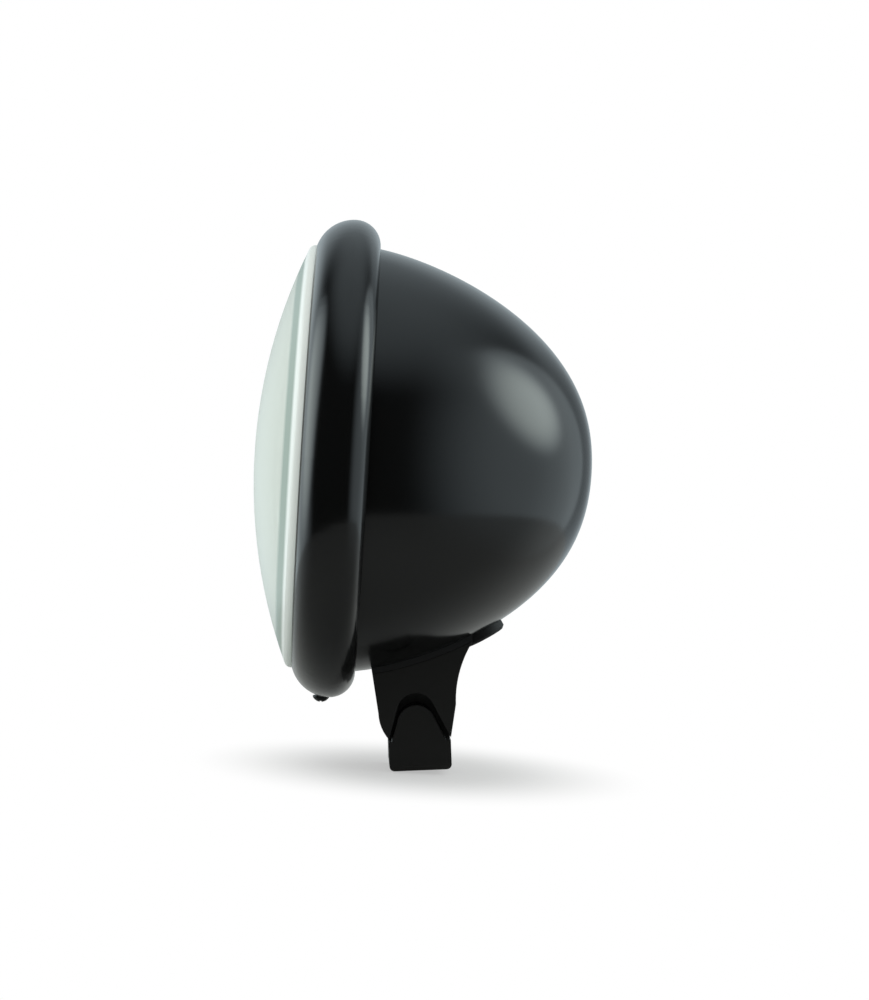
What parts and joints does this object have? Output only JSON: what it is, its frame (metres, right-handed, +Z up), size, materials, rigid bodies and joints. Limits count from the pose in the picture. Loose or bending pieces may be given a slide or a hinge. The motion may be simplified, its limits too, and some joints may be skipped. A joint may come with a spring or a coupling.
{
  "type": "round motorcycle headlight",
  "caption": "Round motorcycle headlight: painted steel bowl and trim ring, domed fluted glass lens, reflector with bulb and pilot lamp, on a raked cast foot.",
  "frame": {"origin": "centre of the threaded hole's mouth in the underside of the foot", "axes": "-Y is the way the lens faces, along the optical axis, and +Z is up; the picture looks along -X"},
  "size_m": [0.16, 0.1132, 0.1827],
  "materials": {
    "black_paint": "gloss",
    "lens_glass": "clear",
    "seal_rubber": "satin",
    "reflector_coat": "polished",
    "spring_steel": "satin",
    "bulb_glass": "clear",
    "bulb_metal": "satin",
    "insulator": "matte",
    "terminal_brass": "satin",
    "tungsten": "satin",
    "black_rubber": "matte",
    "zinc_plate": "satin",
    "black_screw": "satin",
    "foot_paint": "satin"
  },
  "bodies": {
    "root": {"shell": "black_paint", "rim": "black_paint", "lens": "lens_glass", "lens_seal": "seal_rubber", "reflector": "reflector_coat", "rim_clips": "spring_steel", "bulb_glass": "bulb_glass", "bulb_base": "bulb_metal", "bulb_insulator": "insulator", "bulb_terminals": "terminal_brass", "bulb_filaments": "tungsten", "bulb_shield": "bulb_metal", "bulb_spring": "spring_steel", "dust_boot": "black_rubber", "pilot_bulb": "bulb_glass", "pilot_holder": "black_rubber", "rim_hook": "zinc_plate", "rim_lug": "zinc_plate", "rim_nut": "zinc_plate", "rim_screw": "black_screw", "foot": "foot_paint", "foot_pad": "black_rubber", "clamp_plate": "zinc_plate", "foot_washer": "zinc_plate", "foot_bolt": "zinc_plate", "cable_grommet": "black_rubber"}
  },
  "joints": []
}
